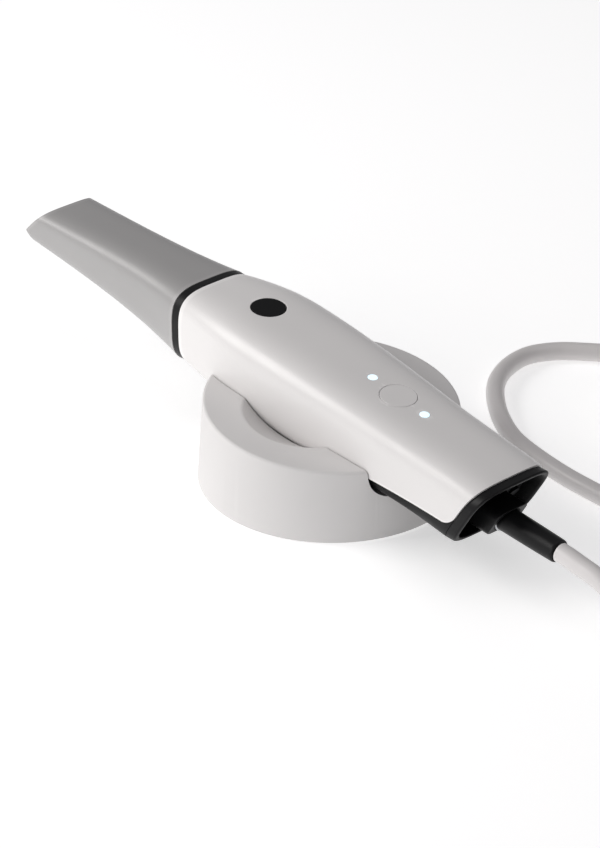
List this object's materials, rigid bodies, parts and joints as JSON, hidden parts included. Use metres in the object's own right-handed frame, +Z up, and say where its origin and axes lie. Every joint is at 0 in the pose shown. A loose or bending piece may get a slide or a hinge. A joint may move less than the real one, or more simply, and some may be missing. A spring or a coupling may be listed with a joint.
{
  "type": "intraoral camera",
  "caption": "Handheld intraoral 3-D camera lying in a round desk cradle, with a pull-off mirror tip, two press buttons and a cable with a stored coil and plug.",
  "frame": {"origin": "middle of the cradle's foot, on the surface it stands on", "axes": "+X along the handpiece towards the cable, -X towards the tip, +Z up; the handpiece and cradle are symmetric about Y = 0"},
  "size_m": [0.3223, 0.2269, 0.0524],
  "materials": {
    "cradle_plastic": "satin moulded",
    "plate_plastic": "matt moulded",
    "weight_steel": "turned",
    "screw_steel": "plain",
    "foot_rubber": "matt",
    "white_plastic": "satin moulded",
    "black_plastic": "satin moulded",
    "black_screw": "black oxide",
    "collar_black": "glossy",
    "window_glass": "polished",
    "tip_plastic": "satin moulded",
    "tip_mirror": "polished",
    "button_black": "glossy",
    "light_glow": "translucent, lit",
    "board_green": "solder mask",
    "switch_metal": "plain",
    "bench_aluminium": "milled",
    "module_metal": "matt black",
    "lens_black": "anodised",
    "plug_steel": "fine brushed",
    "grip_rubber": "satin",
    "cable_jacket": "satin",
    "tie_fabric": "hook and loop",
    "plug_black": "moulded"
  },
  "bodies": {
    "cradle": {"cradle_shell": "cradle_plastic", "cradle_base_plate": "plate_plastic", "cradle_ballast": "weight_steel", "cradle_screws": "screw_steel", "foot_pad": "foot_rubber", "cord_tube": "cable_jacket", "cord_coil": "cable_jacket", "cord_tie": "tie_fabric", "usb_relief": "grip_rubber", "usb_plug": "plug_black", "usb_shell": "plug_steel"},
    "handpiece": {"upper_shell": "white_plastic", "lower_shell": "black_plastic", "shell_screws": "screw_steel", "rear_rim": "black_plastic", "end_panel": "black_plastic", "panel_screw": "black_screw", "connector_collar": "black_plastic", "tip_collar": "collar_black", "nose_spigot": "black_plastic", "nose_window": "window_glass", "status_lights": "light_glow", "scan_board": "board_green", "function_board": "board_green", "scan_switch": "switch_metal", "function_switch": "switch_metal", "optical_bench": "bench_aluminium", "projector_module": "module_metal", "projector_lens": "lens_black", "left_camera": "module_metal", "right_camera": "module_metal", "left_lens": "lens_black", "right_lens": "lens_black", "main_board": "board_green", "heat_sink": "bench_aluminium", "usb_socket": "plug_steel", "plug_nose": "plug_steel", "plug_grip": "grip_rubber"},
    "tip": {"tip_sleeve": "tip_plastic", "tip_mirror": "tip_mirror"},
    "scan_key": {"scan_button": "button_black"},
    "function_key": {"function_button": "white_plastic"}
  },
  "joints": [
    {"name": "handpiece_lift", "type": "slide", "parent": "cradle", "child": "handpiece", "axis": [0, 0, 1], "range_m": [0, 0.05]},
    {"name": "tip_pull_off", "type": "slide", "parent": "handpiece", "child": "tip", "axis": [-1, 0, 0], "range_m": [0, 0.035]},
    {"name": "scan_button_press", "type": "slide", "parent": "handpiece", "child": "scan_key", "axis": [-0.075, 0, -0.9972], "range_m": [0, 0.0005], "stiffness_N_per_m": 800},
    {"name": "function_button_press", "type": "slide", "parent": "handpiece", "child": "function_key", "axis": [-0.134, 0, -0.991], "range_m": [0, 0.0005], "stiffness_N_per_m": 800}
  ]
}
